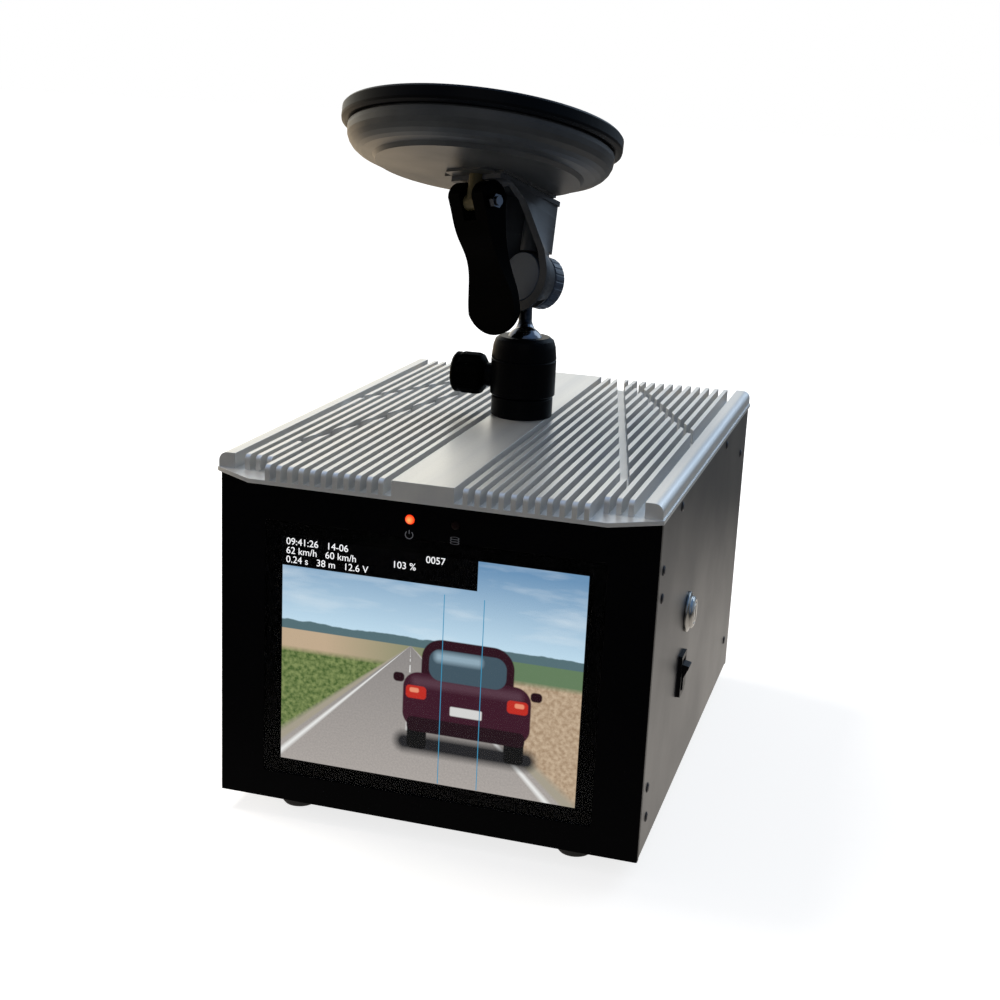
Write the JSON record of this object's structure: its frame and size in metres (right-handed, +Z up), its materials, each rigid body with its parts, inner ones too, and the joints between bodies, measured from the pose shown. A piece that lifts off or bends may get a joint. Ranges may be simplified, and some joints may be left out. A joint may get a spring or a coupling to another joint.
{
  "type": "in-car speed radar",
  "caption": "Boxed in-car speed radar and camera unit with a finned aluminium top, a front display, rear radar and camera windows, and a suction-cup mount on a ball head.",
  "frame": {"origin": "on the ground, under the middle of the whole object's footprint", "axes": "+Z up, the display faces -Y, +X towards the wall with the key switch"},
  "size_m": [0.2367, 0.334, 0.3847],
  "materials": {
    "fin_silver": "satin",
    "case_black": "satin",
    "bezel_black": "satin",
    "window_glass": "gloss",
    "lcd_picture": "gloss",
    "sheet_steel": "satin",
    "zinc_screw": "satin",
    "lamp_red": "gloss",
    "lamp_dark": "gloss",
    "board_green": "satin",
    "inner_metal": "satin",
    "foot_rubber": "matte",
    "switch_black": "satin",
    "key_chrome": "polished",
    "socket_dark": "satin",
    "radome_grey": "matte",
    "lens_black": "gloss",
    "head_black": "satin",
    "ball_metal": "satin",
    "nylon_white": "matte",
    "mount_grey": "matte",
    "eye_grey": "matte",
    "cup_rubber": "matte",
    "lever_black": "satin",
    "stud_cream": "satin"
  },
  "bodies": {
    "case": {"heatsink_top": "fin_silver", "side_panel_right": "case_black", "side_panel_left": "case_black", "side_screws": "zinc_screw", "base_plate": "case_black", "rear_panel": "case_black", "rear_screws": "zinc_screw", "corner_posts": "inner_metal", "foot_screws": "zinc_screw", "front_bezel": "bezel_black", "display_window": "window_glass", "lcd_panel": "lcd_picture", "lcd_frame": "sheet_steel", "power_indicator": "lamp_red", "disk_indicator": "lamp_dark", "indicator_board": "board_green", "main_board": "board_green", "board_posts": "inner_metal", "thermal_block": "inner_metal", "hard_disk": "inner_metal", "hard_disk_bracket": "sheet_steel", "power_board": "board_green", "camera_body": "inner_metal", "camera_lens": "lens_black", "camera_bracket": "sheet_steel", "camera_window": "window_glass", "camera_window_frame": "case_black", "radome_cover": "radome_grey", "radar_antenna": "board_green", "supply_socket": "socket_dark", "network_socket": "sheet_steel", "usb_sockets": "sheet_steel", "key_switch_housing": "key_chrome", "key_switch_nut": "zinc_screw", "rocker_frame": "switch_black", "pan_base": "head_black", "pan_screw": "zinc_screw", "foot_front_left": "foot_rubber", "foot_front_right": "foot_rubber", "foot_rear_left": "foot_rubber", "foot_rear_right": "foot_rubber"},
    "head": {"ball_housing": "head_black", "ball_collar": "head_black", "clamp_pad": "nylon_white"},
    "lock": {"lock_knob": "lever_black", "lock_screw": "ball_metal"},
    "stem": {"ball_stud": "ball_metal", "pivot_eye": "eye_grey", "pivot_bolt": "zinc_screw"},
    "mount": {"mount_bracket": "mount_grey", "bracket_screws": "zinc_screw", "dome_cover": "mount_grey", "suction_rubber": "cup_rubber"},
    "pivot_clamp": {"pivot_knob": "eye_grey"},
    "stud": {"pull_stud": "stud_cream", "cup_centre": "cup_rubber", "lever_pin": "zinc_screw"},
    "lever": {"clamp_lever": "lever_black"},
    "key": {"key_switch_core": "key_chrome"},
    "rocker": {"rocker_paddle": "switch_black"}
  },
  "joints": [
    {"name": "head_pan", "type": "hinge", "parent": "case", "child": "head", "pos_m": [0, 0.0085, 0.1986], "axis": [0, 0, 1], "continuous": true},
    {"name": "lock_turn", "type": "hinge", "parent": "head", "child": "lock", "pos_m": [-0.03, 0.0085, 0.2206], "axis": [-1, 0, 0], "range_deg": [0, 360]},
    {"name": "ball_tilt", "type": "hinge", "parent": "head", "child": "stem", "pos_m": [0, 0.0085, 0.2401], "axis": [-0.9461, -0.3239, 0], "range_deg": [-28, 10]},
    {"name": "mount_pivot", "type": "hinge", "parent": "stem", "child": "mount", "pos_m": [-0.00458, 0.02187, 0.27666], "axis": [0.4695, 0.8466, -0.2508], "range_deg": [-30, 20]},
    {"name": "pivot_clamp_turn", "type": "hinge", "parent": "mount", "child": "pivot_clamp", "pos_m": [-0.00458, 0.02187, 0.27666], "axis": [0.4695, 0.8466, -0.2508], "range_deg": [0, 360]},
    {"name": "stud_lift", "type": "slide", "parent": "mount", "child": "stud", "axis": [0, 0.284, 0.9588], "range_m": [0, 0.005]},
    {"name": "lever_open", "type": "hinge", "parent": "stud", "child": "lever", "pos_m": [-0.02814, -0.01128, 0.3208], "axis": [-0.8829, 0.4501, -0.1333], "range_deg": [0, 100]},
    {"name": "key_turn", "type": "hinge", "parent": "case", "child": "key", "pos_m": [0.115, -0.0478, 0.1115], "axis": [-1, 0, 0], "range_deg": [0, 90]},
    {"name": "rocker_tilt", "type": "hinge", "parent": "case", "child": "rocker", "pos_m": [0.112, -0.058, 0.0793], "axis": [0, -1, 0], "range_deg": [0, 24]}
  ],
  "couplings": [
    {"joint": "stud_lift", "follows": "lever_open", "m_per_rad": 0.0028648}
  ]
}
